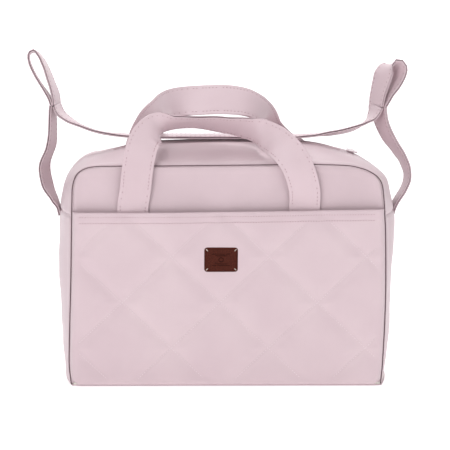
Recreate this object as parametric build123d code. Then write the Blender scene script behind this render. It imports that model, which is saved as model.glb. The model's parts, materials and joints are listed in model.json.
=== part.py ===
# Quilted leatherette diaper bag: a soft zip-top body with a quilted front pocket, two
# ribbon handles and one long strap whose ends make a hanging loop on each side.
# Millimetres. The origin is the middle of the base, on the ground. +X is the wearer's
# right seen from the front, -Y is the front, +Z is up.
import math
import os

from build123d import *

os.makedirs("parts", exist_ok=True)

# ---------------------------------------------------------------- driving sizes
# Body
panel_width = 384.0          # front panel, seam to seam
body_depth = 160.0           # front panel to back panel
panel_height = 276.0         # ground to the top seam of the panels
ridge_rise = 21.0            # the middle of the zip above the top seams
ridge_end_drop = 13.0        # how much lower the zip is at the ends of its straight part
shoulder_fall = 63.0         # seam across each side gusset, below the top seams
side_crown_top = 18.0        # how far a side gusset swells past the panel at its seam
side_crown_bottom = 12.0     # the same at the base
panel_corner = 20.0          # corner radius of the panels
shoulder_drop = 59.0         # height over which the gusset rounds over at the ends
shoulder_reach = 60.0        # width over which it rounds over

# Layers of the wall, from the outside
skin = 1.5
foam = 3.0
lining = 0.7
foam_margin = 14.0           # foam and lining stop this far under the top seam
seam_gap = 0.2               # between two pieces sewn edge to edge

# Zip
seam_margin = 4.0            # fixed strip of gusset next to each top seam
flap_end_inset = 50.0        # the part of the top that opens stops this far from each side
flap_end_gap = 1.0
flap_seam_gap = 2.0          # between a flap and the seam strip it folds against
zip_half_gap = 1.6           # between the middle of the zip and each row of teeth
teeth_width = 2.6
teeth_height = 2.0
tape_width = 9.0
tape_thickness = 0.9
slider_length = 14.0
slider_width = 11.0
slider_overrun = 16.0        # the slider stands this far past the end of the opening
slider_clearance = 0.4
zip_end_rise = 12.0          # zip ends this far above the side seam
slider_plate = 1.4
pull_length = 30.0
pull_width = 9.0
pull_thickness = 1.4

# Front pocket
pocket_fall = 56.0           # pocket mouth below the top seam
pocket_gap = 5.6             # free space between the panel and the pocket lining
pocket_foam = 2.0
pocket_slope = 9.0           # width of the sloping border round the pocket
hem_depth = 13.0

# Leather label and its four stitches
label_width = 42.0
label_height = 31.0
label_thickness = 1.6
label_corner = 4.0
label_fall = 59.0            # its middle below the pocket mouth
trim_offset = -9.0           # the label sits this far left of centre
handle_offset = -12.0        # and the handles this far
stitch_length = 4.0
stitch_diameter = 0.8

# Handles
handle_width = 38.0
handle_thickness = 3.0
handle_spacing = 209.5       # between the middles of the two legs
leg_rise = 4.5               # a leg leaves its sewn end this far above the pocket mouth
anchor_depth = 60.0          # length of the sewn end of a leg
hinge_rise = 3.0             # fold line of a handle above the pocket mouth
leg_gap = 0.6                # between a leg and the panel behind it
fold_clearance = 3.2         # between a fold line and the face of the leg behind it

# Long strap
strap_width = 34.0
strap_thickness = 3.5
strap_clearance = 3.9        # from the zip ridge to the strap lying over it
tack_rise = 45.0             # stitches through both layers, above the zip
tack_gap = 1.0
left_tack_out = 5.5          # the left tack hangs this far outside the gusset
right_tack_in = 20.0         # and the right one this far inside it
strap_foot_gap = 0.6         # between the gusset and the foot of a drop
loop_lay = 0.4               # half the space between the two layers at the foot of a loop
loop_gap = 3.7               # from the tack to the foot of the loop, so that it can swing

# Inside
board_thickness = 3.0
board_margin = 6.0
inner_pocket_width = 240.0
inner_pocket_height = 150.0
inner_pocket_gap = 6.0
inner_pocket_thickness = 0.8
binding_height = 8.0
binding_thickness = 2.4

# ---------------------------------------------------------------- worked out
half_width = panel_width / 2
half_depth = body_depth / 2
ridge_height = panel_height + ridge_rise
shoulder_height = panel_height - shoulder_fall
flap_half_length = half_width - flap_end_inset
slider_park = flap_half_length + slider_overrun
pocket_height = panel_height - pocket_fall
label_middle = pocket_height - label_fall
leg_foot = pocket_height + leg_rise
hinge_height = pocket_height + hinge_rise
tack_height = ridge_height + tack_rise
ridge_reach = half_width + side_crown_top - shoulder_reach
ridge_radius = (ridge_reach ** 2 + ridge_end_drop ** 2) / (2 * ridge_end_drop)
ridge_centre = ridge_height - ridge_radius
wall = skin + foam + lining
ribbon_length = 3            # sections in one length of a ribbon
below = 30.0                 # how far the raw form runs under the ground before it is cut
rounding = 0.5523            # handle length that makes a Bezier corner read as a quarter circle


# ---------------------------------------------------------------- helpers
def block(x0, x1, y0, y1, z0, z1):
    """Axis-aligned block between two corners."""
    size = (x1 - x0, y1 - y0, z1 - z0)
    return Pos(x0, y0, z0) * Box(*size, align=(Align.MIN, Align.MIN, Align.MIN))


def outline(y, foot, side, top, dome, corner_x, corner_z, inset):
    """Front-view outline of the bag in the plane at y, as a face.

    dome is how far the top line sinks from its middle to where the corners begin.
    """
    low = inset - below
    slope = (side - foot) / shoulder_height
    low_x = foot - inset + slope * low
    side_x = side - inset
    arc_x = side - corner_x
    top_end = top - dome
    arc_z = top_end - corner_z
    # The corners leave the top line smoothly and end upright at the side.
    lean = 2 * dome / arc_x
    hold_x = arc_x + rounding * (corner_x - inset)
    hold_z = top_end - inset - rounding * (corner_x - inset) * lean
    hold_side = arc_z + rounding * (corner_z - inset)

    def at(x, z):
        return Vector(x, y, z)

    end_z = top_end - inset
    if dome:
        top_line = ThreePointArc(at(arc_x, end_z), at(0, top - inset), at(-arc_x, end_z))
    else:
        top_line = Line(at(arc_x, end_z), at(-arc_x, end_z))
    edges = [
        Line(at(-low_x, low), at(low_x, low)),
        Line(at(low_x, low), at(side_x, arc_z)),
        Bezier(at(side_x, arc_z), at(side_x, hold_side), at(hold_x, hold_z), at(arc_x, end_z)),
        top_line,
        Bezier(at(-arc_x, end_z), at(-hold_x, hold_z), at(-side_x, hold_side), at(-side_x, arc_z)),
        Line(at(-side_x, arc_z), at(-low_x, low)),
    ]
    return make_face(Wire(edges))


def bag_form(inset):
    """Whole soft body as one solid, shrunk by inset from its outer surface."""
    reach = half_depth - inset
    end = (half_width, half_width, panel_height, 0.0, panel_corner, panel_corner, inset)
    middle = (
        half_width + side_crown_bottom,
        half_width + side_crown_top,
        ridge_height,
        ridge_end_drop,
        shoulder_reach,
        shoulder_drop,
        inset,
    )
    sections = [outline(-reach, *end), outline(0, *middle), outline(reach, *end)]
    form = loft(sections)
    far = 2 * panel_width
    return form & block(-far, far, -far, far, inset, far)


def ribbon(route, width, thickness, count):
    """Flat ribbon through a route of (point, across) stations.

    across points from one edge of the ribbon to the other, and turns evenly
    from each station to the next.
    """
    middle = Spline(*[Vector(*point) for point, across in route])
    marks = [middle.param_at_point(Vector(*point)) for point, across in route]
    marks[0] = 0.0
    marks[-1] = 1.0
    sections = []
    for step in range(count + 1):
        place = step / count * (len(route) - 1)
        index = min(int(place), len(route) - 2)
        share = place - index
        mark = marks[index] + share * (marks[index + 1] - marks[index])
        here = middle.position_at(mark)
        along = middle.tangent_at(mark)
        blend = share * share * (3 - 2 * share)
        across = Vector(*route[index][1]) * (1 - blend) + Vector(*route[index + 1][1]) * blend
        across = (across - along * across.dot(along)).normalized()
        normal = along.cross(across).normalized()
        side = across * (width / 2)
        rise = normal * (thickness / 2)
        corners = [here + side + rise, here - side + rise, here - side - rise, here + side - rise]
        sections.append(make_face(Wire(Polyline(*corners, close=True).edges())))
    # A long twisting loft can turn inside out, so it is made in short lengths and joined.
    lengths = []
    for first in range(0, count, ribbon_length):
        lengths.append(loft(sections[first:first + ribbon_length + 1], ruled=True))
    whole = lengths[0]
    for length in lengths[1:]:
        whole = whole + length
    return whole


def save(name, shape):
    """Write one named piece."""
    export_step(shape, "parts/" + name + ".step")


# ---------------------------------------------------------------- body walls
far = 2 * panel_width
outer = bag_form(0)
under_skin = bag_form(skin)
under_foam = bag_form(skin + foam)
inside = bag_form(wall)

front_face = half_depth - skin
skin_ring = (outer - under_skin) & block(-far, far, -front_face, front_face, 0, far)
foam_ring = under_skin - under_foam
lining_ring = under_foam - inside
foam_top = panel_height - foam_margin
inner_face = half_depth - wall


def make_body_skin():
    """Front and back panels, base, and the two lower side gussets."""
    save("front_panel", outer & block(-far, far, -far, -front_face, 0, far))
    save("back_panel", outer & block(-far, far, front_face, far, 0, far))
    save("bottom_panel", skin_ring & block(-far, far, -far, far, 0, skin))
    low = skin + seam_gap
    high = shoulder_height - seam_gap
    save("left_side_gusset", skin_ring & block(-far, 0, -far, far, low, high))
    save("right_side_gusset", skin_ring & block(0, far, -far, far, low, high))


def make_body_padding():
    """Foam and lining behind each wall; both stop short of the top seam."""
    reach = half_depth - skin - foam
    low = skin + foam
    for name, low_y, high_y in (("front", -far, -reach), ("back", reach, far)):
        save(name + "_foam", under_skin & block(-far, far, low_y, high_y, low, foam_top))
    side = foam_ring & block(-far, far, -reach, reach, low, shoulder_height)
    save("left_foam", side & block(-far, 0, -far, far, 0, far))
    save("right_foam", side & block(0, far, -far, far, 0, far))
    save("bottom_foam", under_skin & block(-far, far, -far, far, skin, low))
    high = low + lining
    for name, low_y, high_y in (("front", -far, -inner_face), ("back", inner_face, far)):
        save(name + "_lining", under_foam & block(-far, far, low_y, high_y, high, foam_top))
    side = lining_ring & block(-far, far, -inner_face, inner_face, high, shoulder_height)
    save("left_lining", side & block(-far, 0, -far, far, 0, far))
    save("right_lining", side & block(0, far, -far, far, 0, far))
    save("bottom_lining", under_foam & block(-far, far, -far, far, low, high))


# ---------------------------------------------------------------- top gusset and zip
margin_line = front_face - seam_margin
top_skin = skin_ring & block(-far, far, -far, far, shoulder_height, far)
slot_half = zip_half_gap + teeth_width + 1.0
flap_hinge_y = margin_line
flap_start = margin_line - flap_seam_gap
slider_reach = slider_park + slider_length / 2 + 1.0


def make_top_gusset():
    """Fixed seam strips, the two rounded ends, and the two flaps beside the zip."""
    for name, side in (("front", -1), ("back", 1)):
        near, away = sorted((side * margin_line, side * far))
        strip = top_skin & block(-flap_half_length, flap_half_length, near, away, 0, far)
        save(name + "_seam_strip", strip)
        near, away = sorted((side * slot_half, side * flap_start))
        reach = flap_half_length - flap_end_gap
        save(name + "_top_flap", top_skin & block(-reach, reach, near, away, 0, far))
    zip_foot = shoulder_height + zip_end_rise
    zip_slot = block(-far, far, -slot_half, slot_half, zip_foot, far)
    channel = block(-slider_reach, slider_reach, -zip_half_gap, zip_half_gap, 0, far)
    for name, low_x, high_x in (("left", -far, -flap_half_length), ("right", flap_half_length, far)):
        end = top_skin & block(low_x, high_x, -far, far, 0, far)
        save(name + "_corner_gusset", end - zip_slot)
        trim = seam_gap
        tape = (outer - bag_form(tape_thickness)) & block(
            low_x, high_x, -slot_half + trim, slot_half - trim, zip_foot + trim, far
        )
        save(name + "_zip_end", tape - channel)


def ridge_disc(height):
    """Disc whose rim is the zip line, raised by height."""
    disc = Rot(90, 0, 0) * Cylinder(ridge_radius + height, body_depth)
    return Pos(0, 0, ridge_centre) * disc


def make_zip():
    """Tapes and rows of teeth on the flaps, the slider and its pull."""
    reach = flap_half_length - flap_end_gap
    teeth_foot = -skin
    teeth_top = teeth_foot + teeth_height
    for name, side in (("front", -1), ("back", 1)):
        near, away = sorted((side * zip_half_gap, side * (zip_half_gap + tape_width)))
        under = bag_form(skin) - bag_form(skin + tape_thickness)
        save("zip_tape_" + name, under & block(-reach, reach, near, away, shoulder_height, far))
        near, away = sorted((side * zip_half_gap, side * (zip_half_gap + teeth_width)))
        row = ridge_disc(teeth_top) - ridge_disc(teeth_foot + seam_gap)
        save("zip_teeth_" + name, row & block(-reach, reach, near, away, shoulder_height, far))

    # The slider is a bridge over the teeth: a top plate and a wedge between the rows.
    # It is made over the middle of the zip and carried round the ridge to its parking place.
    over = ridge_height + teeth_top + slider_clearance
    plate = block(-slider_length / 2, slider_length / 2, -slider_width / 2, slider_width / 2,
                  over, over + slider_plate)
    plate = fillet(plate.edges().filter_by(Axis.Z), 3.0)
    wedge_half = zip_half_gap - slider_clearance
    wedge = block(-2.5, 2.5, -wedge_half, wedge_half, ridge_height + teeth_foot - 1.0, over)
    park = math.degrees(math.asin(slider_park / ridge_radius))
    carry = Pos(0, 0, ridge_centre) * Rot(0, park, 0) * Pos(0, 0, -ridge_centre)
    save("zip_slider", carry * (plate + wedge))

    # The pull lies back from the slider on top of the gusset.
    pull_z = over + 0.1
    pull_y = slider_width / 2 + 0.6
    pull = block(-pull_width / 2, pull_width / 2, pull_y, pull_y + pull_length,
                 pull_z, pull_z + pull_thickness)
    pull = fillet(pull.edges().filter_by(Axis.Z), 3.0)
    hole = Pos(0, pull_y + 5.0, pull_z) * Cylinder(1.8, 10)
    save("zip_pull", carry * (pull - hole))
    hinge = carry * Pos(0, pull_y - 0.3, pull_z + pull_thickness / 2)


# ---------------------------------------------------------------- front pocket
pocket_wall = skin + pocket_foam + lining
pocket_depth = pocket_gap + pocket_wall
pocket_front = -half_depth - pocket_depth


def pocket_form(inset):
    """Pillow shape of the pocket: a tray that narrows towards its flat front."""
    back = half_width - 1.0 - inset
    front = half_width - 1.0 - pocket_slope - inset
    low_back = 0.6 + inset
    low_front = 0.6 + pocket_slope + inset
    rims = []
    for y, reach, low in (
        (-half_depth, back, low_back),
        (pocket_front + inset, front, low_front),
    ):
        corners = [
            Vector(-reach, y, low),
            Vector(reach, y, low),
            Vector(reach, y, pocket_height + below),
            Vector(-reach, y, pocket_height + below),
        ]
        rims.append(make_face(Wire(Polyline(*corners, close=True).edges())))
    form = loft(rims, ruled=True)
    return form & block(-far, far, pocket_front - 1, -half_depth - seam_gap, 0, pocket_height)


def make_pocket():
    """Quilted outside, foam, lining, and the turned hem along the mouth."""
    whole = pocket_form(0)
    no_skin = pocket_form(skin)
    no_foam = pocket_form(skin + pocket_foam)
    hollow = pocket_form(pocket_wall)
    under_hem = block(-far, far, -far, far, 0, pocket_height - hem_depth)
    in_hem = block(-far, far, -far, far, pocket_height - hem_depth, far)
    save("pocket_panel", (whole - no_skin) & under_hem)
    save("pocket_foam", (no_skin - no_foam) & under_hem)
    save("pocket_lining", (no_foam - hollow) & under_hem)
    save("pocket_hem", (whole - hollow) & in_hem)


def make_label():
    """Leather patch on the pocket and the short slanted stitch at each corner."""
    patch = extrude(RectangleRounded(label_width, label_height, label_corner), label_thickness)
    # a shallow border line pressed round the patch
    frame_out = RectangleRounded(label_width - 6, label_height - 6, label_corner - 1.5)
    frame_in = RectangleRounded(label_width - 7.2, label_height - 7.2, label_corner - 2)
    groove = Pos(0, 0, label_thickness - 0.3) * extrude(frame_out - frame_in, 1)
    stand = Pos(trim_offset, pocket_front, label_middle) * Rot(90, 0, 0)
    save("label_patch", stand * (patch - groove))
    stitches = []
    for side in (-1, 1):
        for level in (-1, 1):
            across = side * (label_width / 2 - 3.4)
            up = level * (label_height / 2 - 3.4)
            stitch = Rot(0, 90, 0) * Cylinder(stitch_diameter / 2, stitch_length)
            turned = Rot(0, 0, 45 * side * level) * stitch
            height = label_thickness + stitch_diameter / 2 + 0.02
            stitches.append(stand * Pos(across, up, height) * turned)
    save("label_stitches", Compound(stitches))


# ---------------------------------------------------------------- handles
leg_left = handle_offset - handle_spacing / 2
leg_right = handle_offset + handle_spacing / 2
front_leg_y = -half_depth - leg_gap - handle_thickness / 2
back_leg_y = half_depth + leg_gap + handle_thickness / 2
front_fold_y = front_leg_y - handle_thickness / 2 - fold_clearance
back_fold_y = back_leg_y + handle_thickness / 2 + fold_clearance
handle_rise = ridge_height - leg_foot

# Stations of each handle: share in hundredths of the leg spacing from the left leg, of the
# body depth from the legs, and of the height from a leg's foot to the zip; then the
# direction across the ribbon.
front_stations = [
    (0, 0, 0, (-1, 0, 0)),
    (0.1, -0.19, 8.28, (-1, 0, 0)),
    (1.43, -1.56, 28.97, (-1, 0, 0.04)),
    (3.01, -2.5, 68.97, (-1, 0, 0.08)),
    (5.87, -1.25, 106.21, (-1, -0.05, 0.2)),
    (10.98, 6.25, 126.9, (-0.78, -0.42, 0.45)),
    (21, 18.12, 136.55, (-0.15, -0.9, 0.42)),
    (35.8, 24.38, 137.93, (0, -0.9, 0.42)),
    (53.46, 23.12, 133.79, (0.05, -0.82, 0.56)),
    (68.5, 18.75, 127.59, (0.2, -0.7, 0.66)),
    (78.04, 10.62, 118.62, (0.5, -0.42, 0.66)),
    (86.16, 1.25, 104.83, (0.72, -0.12, 0.6)),
    (92.36, -3.12, 85.52, (0.85, 0, 0.5)),
    (96.42, -4.38, 64.14, (0.93, 0, 0.36)),
    (99.76, -2.5, 30.34, (1, 0, 0.06)),
    (100, -0.19, 8.28, (1, 0, 0)),
    (100, 0, 0, (1, 0, 0)),
]
back_stations = [
    (0, 0, 0, (-1, 0, 0)),
    (0, 0.25, 8.28, (-1, 0, 0)),
    (0.95, 3.12, 44.14, (-1, 0, 0)),
    (4.3, 3.12, 85.52, (-1, 0.12, 0.12)),
    (9.55, -11.25, 120, (-0.85, 0.3, 0.45)),
    (15.27, -38.75, 144.83, (-0.45, 0.5, 0.74)),
    (19.09, -61.25, 161.38, (-0.2, 0.5, 0.84)),
    (26.73, -78.75, 172.41, (0, 0.47, 0.88)),
    (39.14, -85.62, 176.97, (0, 0.45, 0.89)),
    (54.89, -85, 177.93, (0, 0.46, 0.89)),
    (68.5, -78.12, 170.34, (0.08, 0.57, 0.82)),
    (77.57, -61.88, 148.97, (0.3, 0.7, 0.65)),
    (80.43, -35.62, 120, (0.75, -0.3, 0.5)),
    (88.54, -13.75, 96.55, (0.9, -0.3, 0.3)),
    (98.57, 3.75, 73.1, (0.99, 0, 0.12)),
    (100, 3.75, 41.38, (1, 0, 0)),
    (100, 0.25, 8.28, (1, 0, 0)),
    (100, 0, 0, (1, 0, 0)),
]
front_sections, back_sections = 48, 51


def make_handle(side, stations, leg_y, sections, low_y):
    """One handle: its arch through the stations, and its two sewn ends."""
    route = []
    for across_share, depth_share, rise_share, across in stations:
        x = leg_left + handle_spacing * across_share / 100
        y = leg_y + body_depth * depth_share / 100
        z = leg_foot + handle_rise * rise_share / 100
        route.append(((x, y, z), across))
    save(side + "_handle", ribbon(route, handle_width, handle_thickness, sections))
    for name, x in (("left", leg_left), ("right", leg_right)):
        low_x = x - handle_width / 2
        leg = block(low_x, low_x + handle_width, low_y, low_y + handle_thickness,
                    leg_foot - anchor_depth, leg_foot - 1)
        save(side + "_handle_foot_" + name, leg)


# ---------------------------------------------------------------- long strap
strap_low = ridge_height + strap_clearance + strap_thickness / 2
gusset_x = half_width + side_crown_top
left_tack_x = -gusset_x - left_tack_out
right_tack_x = gusset_x - right_tack_in
layer_shift = strap_thickness / 2 + tack_gap / 2


def strap_piece(name, points, count):
    """Stretch of the strap, flat across the bag from front to back."""
    route = [((x, 0, z), (0, 1, 0)) for x, z in points]
    save(name, ribbon(route, strap_width, strap_thickness, count))


def make_strap():
    """Two hanging drops, two pinched loops and the run over the top."""
    foot_x = gusset_x + strap_thickness / 2 + strap_foot_gap
    foot_z = shoulder_height + 1.0
    strap_piece("strap_drop_left", [
        (-foot_x, foot_z),
        (-foot_x - 5, foot_z + 10),
        (-foot_x - 13.5, foot_z + 29),
        (-foot_x - 17.5, foot_z + 52),
        (-foot_x - 11.5, foot_z + 75),
        (left_tack_x - layer_shift - 2.4, tack_height - 32),
        (left_tack_x - layer_shift - 0.2, tack_height - 9),
        (left_tack_x - layer_shift, tack_height),
    ], 21)
    strap_piece("strap_drop_right", [
        (foot_x, foot_z),
        (foot_x + 4, foot_z + 8),
        (foot_x + 13, foot_z + 23),
        (foot_x + 17, foot_z + 38),
        (foot_x + 13, foot_z + 55),
        (foot_x + 4, foot_z + 70),
        (foot_x - 8, foot_z + 87),
        (right_tack_x + layer_shift + 3, tack_height - 22),
        (right_tack_x + layer_shift + 0.2, tack_height - 8),
        (right_tack_x + layer_shift, tack_height),
    ], 27)
    lay = strap_thickness / 2 + loop_lay
    foot = tack_height + loop_gap
    strap_piece("strap_loop_left", [
        (left_tack_x - lay, foot),
        (left_tack_x - 8, foot + 8),
        (left_tack_x - 16.5, foot + 21),
        (left_tack_x - 25.5, foot + 36),
        (left_tack_x - 31, foot + 49),
        (left_tack_x - 31, foot + 58.5),
        (left_tack_x - 25, foot + 62.5),
        (left_tack_x - 18.5, foot + 57),
        (left_tack_x - 12, foot + 44),
        (left_tack_x - 6.5, foot + 26),
        (left_tack_x - 1, foot + 9),
        (left_tack_x + lay, foot),
    ], 33)
    strap_piece("strap_loop_right", [
        (right_tack_x - lay, foot),
        (right_tack_x + 0.5, foot + 12),
        (right_tack_x + 5, foot + 27),
        (right_tack_x + 9, foot + 42),
        (right_tack_x + 15.5, foot + 52),
        (right_tack_x + 24.5, foot + 54),
        (right_tack_x + 30, foot + 47),
        (right_tack_x + 29, foot + 36),
        (right_tack_x + 21.5, foot + 22),
        (right_tack_x + 11, foot + 9),
        (right_tack_x + lay, foot),
    ], 33)
    strap_piece("strap_top_run", [
        (left_tack_x + layer_shift, tack_height),
        (left_tack_x + layer_shift + 4, tack_height - 9),
        (left_tack_x + 15, strap_low + 22),
        (left_tack_x + 35, strap_low + 11.5),
        (left_tack_x + 58, strap_low + 4),
        (left_tack_x + 92, strap_low + 0.3),
        (-flap_half_length / 2, strap_low),
        (0, strap_low),
        (flap_half_length / 2, strap_low),
        (right_tack_x - 86, strap_low + 1.2),
        (right_tack_x - 58, strap_low + 4),
        (right_tack_x - 33, strap_low + 9.5),
        (right_tack_x - 15, strap_low + 18),
        (right_tack_x - layer_shift - 3.5, tack_height - 11),
        (right_tack_x - layer_shift, tack_height),
    ], 57)
    for name, x in (("left", left_tack_x), ("right", right_tack_x)):
        half = tack_gap / 2 - 0.25
        save("strap_tack_" + name, block(
            x - half, x + half, -strap_width / 2 + 4, strap_width / 2 - 4,
            tack_height - 4, tack_height - 0.5
        ))


# ---------------------------------------------------------------- inside
def make_inside():
    """Base board, slip pocket on the back wall and the binding along its mouth."""
    floor = wall + seam_gap
    board_x = half_width - wall - board_margin
    board_y = inner_face - board_margin
    board = block(-board_x, board_x, -board_y, board_y, floor, floor + board_thickness)
    save("base_board", fillet(board.edges().filter_by(Axis.Z), 8.0))
    half = inner_pocket_width / 2
    low = floor + board_thickness + 12.0
    high = low + inner_pocket_height
    back = inner_face - seam_gap
    front = back - inner_pocket_gap - inner_pocket_thickness
    solid = block(-half, half, front, back, low, high)
    space = block(-half + 1, half - 1, front + inner_pocket_thickness, back + 1, low + 1, high + 1)
    save("inner_pocket", solid - space)
    middle = front + inner_pocket_thickness / 2
    band_y = binding_thickness / 2
    save("inner_pocket_binding", block(
        -half + 1.2, half - 1.2, middle - band_y, middle + band_y, high + 0.1, high + binding_height
    ))


make_body_skin()
make_body_padding()
make_top_gusset()
make_zip()
make_pocket()
make_label()
make_handle("front", front_stations, front_leg_y, front_sections, front_leg_y - handle_thickness / 2)
make_handle("back", back_stations, back_leg_y, back_sections, half_depth + seam_gap)
make_strap()
make_inside()
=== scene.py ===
# %% [markdown]
# # A quilted diaper bag, piece by piece
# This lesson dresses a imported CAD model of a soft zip-top bag.
# The CAD model says where every piece is and how it moves.
# Here each soft piece is made again with the sag, seams, stitches and grain of the real thing.
# Lengths are written in millimetres and turned to metres when a mesh is finished.

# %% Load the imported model
import json
import math
import bmesh
import bpy
from mathutils import Matrix, Vector, noise


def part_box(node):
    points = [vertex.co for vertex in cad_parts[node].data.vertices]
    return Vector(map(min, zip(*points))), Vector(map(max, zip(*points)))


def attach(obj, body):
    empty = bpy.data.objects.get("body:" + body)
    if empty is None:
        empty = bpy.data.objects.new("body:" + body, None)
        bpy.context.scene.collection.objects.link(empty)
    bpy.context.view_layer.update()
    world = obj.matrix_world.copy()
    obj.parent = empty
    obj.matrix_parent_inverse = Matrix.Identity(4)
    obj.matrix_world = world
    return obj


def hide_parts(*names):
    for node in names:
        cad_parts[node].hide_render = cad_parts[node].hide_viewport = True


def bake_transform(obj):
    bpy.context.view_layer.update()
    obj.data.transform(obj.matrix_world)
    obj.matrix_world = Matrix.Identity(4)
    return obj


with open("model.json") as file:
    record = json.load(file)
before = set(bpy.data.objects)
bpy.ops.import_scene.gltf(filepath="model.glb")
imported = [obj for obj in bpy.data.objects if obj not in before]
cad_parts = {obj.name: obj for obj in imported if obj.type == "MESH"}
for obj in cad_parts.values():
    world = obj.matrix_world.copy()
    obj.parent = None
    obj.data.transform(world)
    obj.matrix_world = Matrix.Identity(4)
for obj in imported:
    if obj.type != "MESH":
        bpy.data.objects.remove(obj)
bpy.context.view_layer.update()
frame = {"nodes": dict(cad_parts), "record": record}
nodes = frame["nodes"]

# %% [markdown]
# ## The materials
# Coated leatherette is cloth with a soft plastic skin, embossed with a fine grain.
# It could be given a picture of leather, but a picture repeats and has one fixed sharpness.
# Noise and cell patterns in real millimetres stay crisp at any distance, so they are used here.

# %% Colours, written as sRGB hex and turned to linear
def linear(hex_colour):
    """The linear RGBA of an sRGB hex colour."""
    parts = [int(hex_colour[i:i + 2], 16) / 255 for i in (1, 3, 5)]
    lit = [p / 12.92 if p <= 0.04045 else ((p + 0.055) / 1.055) ** 2.4 for p in parts]
    return (*lit, 1.0)


MM = 0.001
leatherette_hex = "#CDB8BE"
print("leatherette in linear light:", [round(v, 3) for v in linear(leatherette_hex)])


# %% One function adds a node with its settings and links
def add(tree, kind, settings=None, **inputs):
    """A new node. settings are its properties; inputs are values or (node, output) links."""
    node = tree.nodes.new(kind)
    for key, value in (settings or {}).items():
        setattr(node, key, value)
    for key, value in inputs.items():
        socket = node.inputs[int(key[1:])] if key[1:].isdigit() else node.inputs[key.replace("_", " ")]
        if isinstance(value, tuple) and len(value) == 2 and hasattr(value[0], "outputs"):
            tree.links.new(value[0].outputs[value[1]], socket)
        else:
            socket.default_value = value
    return node


def new_material(name, **shader):
    """A material with its shader's own sockets set, and the tree, shader and object coordinates."""
    made = bpy.data.materials.new(name)
    made.use_nodes = True
    tree = made.node_tree
    surface = tree.nodes["Principled BSDF"]
    for key, value in shader.items():
        surface.inputs[key.replace("_", " ")].default_value = value
    place = add(tree, "ShaderNodeTexCoord")
    return made, tree, surface, place


def tint(tree, surface, light_hex, dark_hex, fac, low=0.35, high=0.65):
    """Colour that drifts between two close shades, as dye does."""
    ramp = add(tree, "ShaderNodeValToRGB", Fac=fac)
    ramp.color_ramp.elements[0].position = low
    ramp.color_ramp.elements[0].color = linear(dark_hex)
    ramp.color_ramp.elements[1].position = high
    ramp.color_ramp.elements[1].color = linear(light_hex)
    tree.links.new(ramp.outputs["Color"], surface.inputs["Base Color"])


# %% [markdown]
# ## Leatherette
# Two layers of cells 0.9 mm and 2.2 mm across stand for the embossed grain, and a slow drift
# of roughness gives the eye the satin patches that handling leaves.
# The real grain is finer than a render this size can show, so the cells are drawn a little coarse.

# %% Coated leatherette, embossed
def make_leatherette(name, light_hex, dark_hex, roughness, grain):
    """Coated cloth: satin, with fine pebbled grain. It gives the eye a soft, slightly waxy sheen."""
    made, tree, surface, place = new_material(
        name, Roughness=roughness, IOR=1.46, Coat_Weight=0.06, Coat_Roughness=0.45,
        Sheen_Weight=0.12, Sheen_Roughness=0.5)
    drift = add(tree, "ShaderNodeTexNoise", Vector=(place, "Object"), Scale=18.0, Detail=4.0)
    tint(tree, surface, light_hex, dark_hex, (drift, "Fac"))
    cells = add(tree, "ShaderNodeTexVoronoi", Vector=(place, "Object"), Scale=1 / (0.9 * MM))
    folds = add(tree, "ShaderNodeTexNoise", Vector=(place, "Object"), Scale=1 / (2.2 * MM), Detail=3.0)
    both = add(tree, "ShaderNodeMath", {"operation": "ADD"}, _0=(cells, "Distance"), _1=(folds, "Fac"))
    waves = add(tree, "ShaderNodeTexNoise", Vector=(place, "Object"), Scale=55.0, Detail=2.0)
    fine = add(tree, "ShaderNodeBump", Strength=grain, Distance=0.08 * MM, Height=(both, "Value"))
    soft = add(tree, "ShaderNodeBump", Strength=0.25, Distance=1.2 * MM, Height=(waves, "Fac"),
               Normal=(fine, "Normal"))
    tree.links.new(soft.outputs["Normal"], surface.inputs["Normal"])
    rough = add(tree, "ShaderNodeMapRange", Value=(drift, "Fac"), To_Min=roughness - 0.06,
                To_Max=roughness + 0.08)
    tree.links.new(rough.outputs["Result"], surface.inputs["Roughness"])
    return made


leatherette = make_leatherette("leatherette_embossed", leatherette_hex, "#C8B3B9", 0.5, 0.5)
quilted = make_leatherette("leatherette_quilted", "#CFBBC0", "#CBB6BC", 0.48, 0.4)
strap_skin = make_leatherette("leatherette_strap", "#CFBAC0", "#CBB5BB", 0.47, 0.35)
print("leatherettes:", leatherette.name, quilted.name, strap_skin.name)


# %% [markdown]
# ## Cloth, thread, leather, nylon and metal
# Woven lining and zip tape are crossed threads, so two wave patterns at right angles make them.
# Thread is twisted, but here it is given one fine noise, as the other small finishes are. Label leather is
# waxed hide with darker pores.
# The slider is cast zinc, enamelled to match, and nylon coil is a plain moulded plastic.

# %% Woven cloth
def make_weave(name, light_hex, dark_hex, spacing, roughness=0.85):
    """Plain weave of threads that far apart in millimetres. It gives the eye a matt, dry cloth."""
    made, tree, surface, place = new_material(
        name, Roughness=roughness, Sheen_Weight=0.25, Sheen_Roughness=0.4, IOR=1.45)
    turns = 2 * math.pi / (20 * spacing * MM)
    rows = [add(tree, "ShaderNodeTexWave", {"bands_direction": way}, Vector=(place, "Object"),
                Scale=turns, Distortion=0.6, Detail=1.0) for way in ("X", "Z")]
    cross = add(tree, "ShaderNodeMath", {"operation": "MAXIMUM"}, _0=(rows[0], "Fac"), _1=(rows[1], "Fac"))
    tint(tree, surface, light_hex, dark_hex, (cross, "Value"), 0.2, 0.8)
    bump = add(tree, "ShaderNodeBump", Strength=0.5, Distance=0.1 * MM, Height=(cross, "Value"))
    tree.links.new(bump.outputs["Normal"], surface.inputs["Normal"])
    return made


lining = make_weave("polyester_lining_woven", "#D9CCCC", "#C7B8B9", 0.8)
tape = make_weave("zip_tape_woven", "#D8C0C6", "#C8AEB5", 0.7)
binding = make_weave("elastic_binding_woven", "#C9AEB5", "#B3959D", 1.0)
print("weaves:", lining.name, tape.name, binding.name)


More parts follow.
